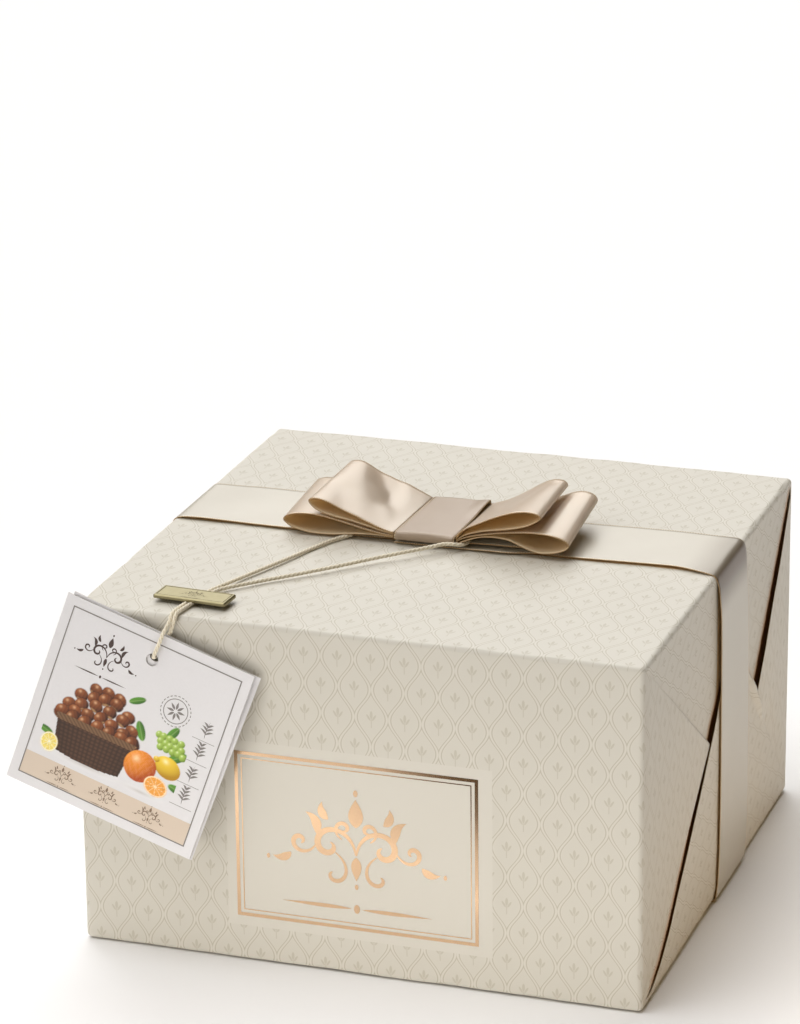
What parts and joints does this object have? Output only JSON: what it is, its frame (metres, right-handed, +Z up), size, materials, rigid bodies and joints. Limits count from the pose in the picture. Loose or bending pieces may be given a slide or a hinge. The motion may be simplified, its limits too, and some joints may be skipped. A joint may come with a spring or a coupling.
{
  "type": "gift-wrapped panettone box",
  "caption": "Low square cake box in patterned ivory gift paper with folded ends, a wide satin ribbon with a flat loop bow, and a square card tag on a cord with a small brass plate",
  "frame": {"origin": "Under the middle of the box, on the surface it stands on", "axes": "+Z up, -Y out of the labelled long face, +X along the ribbon to the right end"},
  "size_m": [0.283, 0.264, 0.1756],
  "materials": {
    "gift_paper": "smooth uncoated gift paper with a fine printed pattern",
    "band_satin": "satin ribbon",
    "bow_satin": "satin ribbon",
    "brass": "pale polished brass",
    "tag_card": "smooth white card",
    "cord_yarn": "twisted yarn"
  },
  "bodies": {
    "root": {"wrapped_box": "gift_paper", "ribbon_band": "band_satin", "bow_lower_loops": "bow_satin", "bow_upper_loops": "bow_satin", "bow_knot_band": "bow_satin", "brass_plate": "brass", "tag_front": "tag_card", "tag_rear": "tag_card", "tag_cord": "cord_yarn"}
  },
  "joints": []
}
